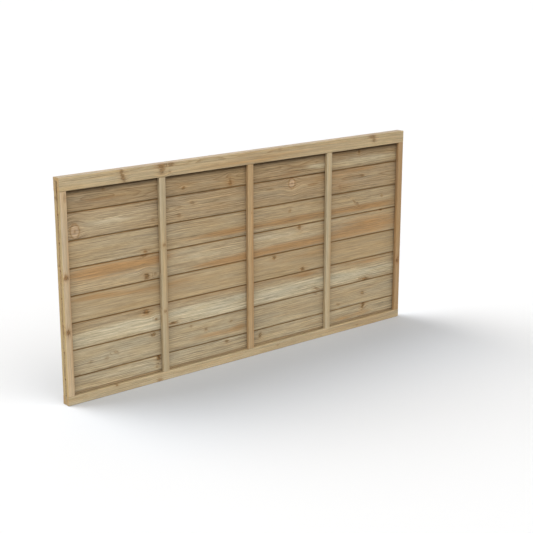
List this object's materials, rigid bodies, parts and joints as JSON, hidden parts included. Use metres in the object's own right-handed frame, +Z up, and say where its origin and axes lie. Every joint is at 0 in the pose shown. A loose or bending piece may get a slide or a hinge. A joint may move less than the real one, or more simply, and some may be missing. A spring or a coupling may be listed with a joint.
{
  "type": "lap fence panel",
  "caption": "Low garden fence panel: horizontal overlapping sawn slats held between a front and a rear frame of planed battens, with full-length rails and a flat top cap.",
  "frame": {"origin": "centre of the underside, where the panel stands on the ground", "axes": "+X along the panel, -Y towards the front that the slats lap over, +Z up"},
  "size_m": [1.83, 0.0412, 0.903],
  "materials": {
    "planed_timber": "planed pressure-treated softwood, pale, eased edges",
    "sawn_slats": "fine-sawn pressure-treated softwood, greyer, with knots"
  },
  "bodies": {
    "root": {"front_bottom_rail": "planed_timber", "front_top_rail": "planed_timber", "front_left_stile": "planed_timber", "front_right_stile": "planed_timber", "front_batten_1": "planed_timber", "front_batten_2": "planed_timber", "front_batten_3": "planed_timber", "rear_bottom_rail": "planed_timber", "rear_top_rail": "planed_timber", "rear_left_stile": "planed_timber", "rear_right_stile": "planed_timber", "rear_batten_1": "planed_timber", "rear_batten_2": "planed_timber", "rear_batten_3": "planed_timber", "top_cap": "planed_timber", "bottom_filler": "planed_timber", "slat_1": "sawn_slats", "slat_2": "sawn_slats", "slat_3": "sawn_slats", "slat_4": "sawn_slats", "slat_5": "sawn_slats", "slat_6": "sawn_slats", "slat_7": "sawn_slats", "slat_8": "sawn_slats"}
  },
  "joints": []
}
